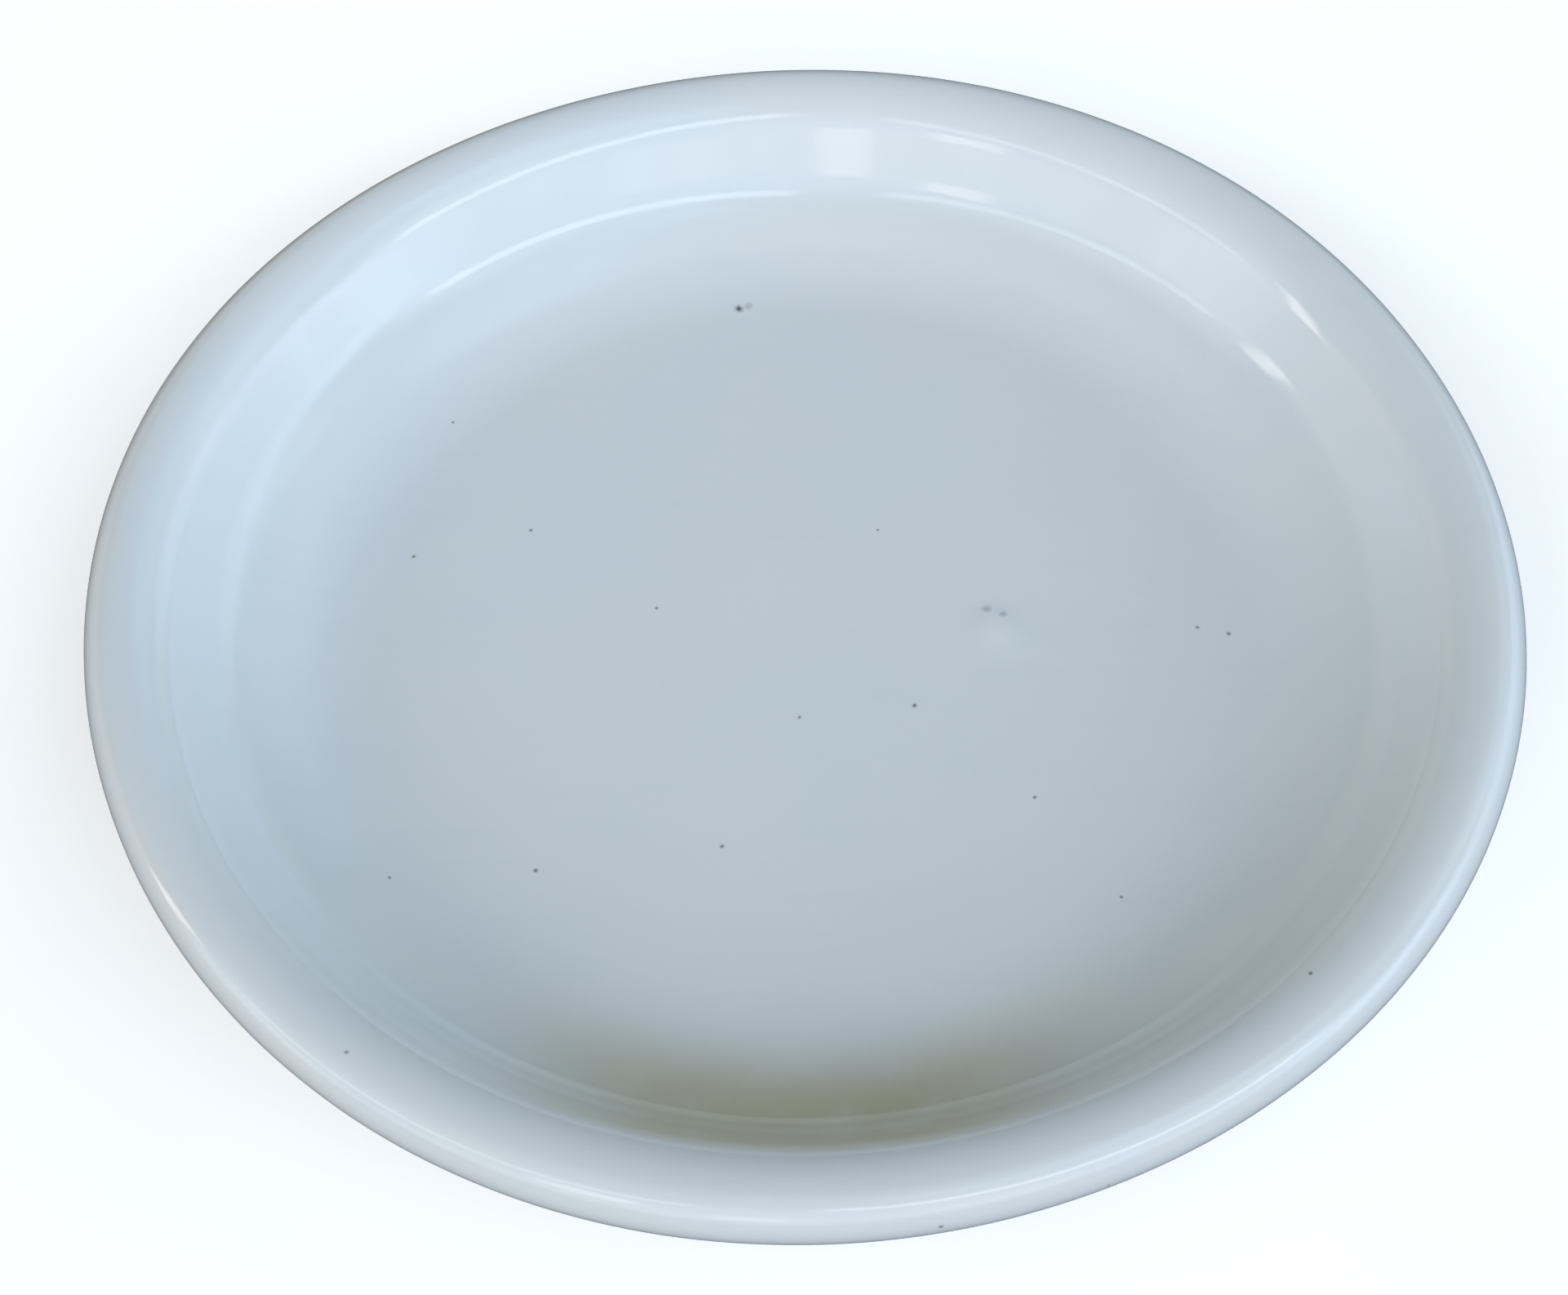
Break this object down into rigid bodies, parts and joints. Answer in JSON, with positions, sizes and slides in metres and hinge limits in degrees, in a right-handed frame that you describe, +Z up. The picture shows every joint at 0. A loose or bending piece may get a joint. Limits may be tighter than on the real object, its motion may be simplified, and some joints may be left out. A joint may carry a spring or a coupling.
{
  "type": "evaporating dish",
  "caption": "Shallow round flat-bottomed dish of white glazed porcelain with a thick rounded rim, a sloping wall and a low bare foot ring.",
  "frame": {"origin": "centre of the foot ring's face, on the dish's axis", "axes": "+Z up along the dish's axis, out of its open side; the dish is round, so X and Y have no features of their own"},
  "size_m": [0.25, 0.25, 0.0303],
  "materials": {
    "bare_porcelain": "unglazed, matte, off-white",
    "glaze": "glossy bluish white with a few small iron specks"
  },
  "bodies": {
    "root": {"porcelain_body": "bare_porcelain", "glaze_coat": "glaze"}
  },
  "joints": []
}
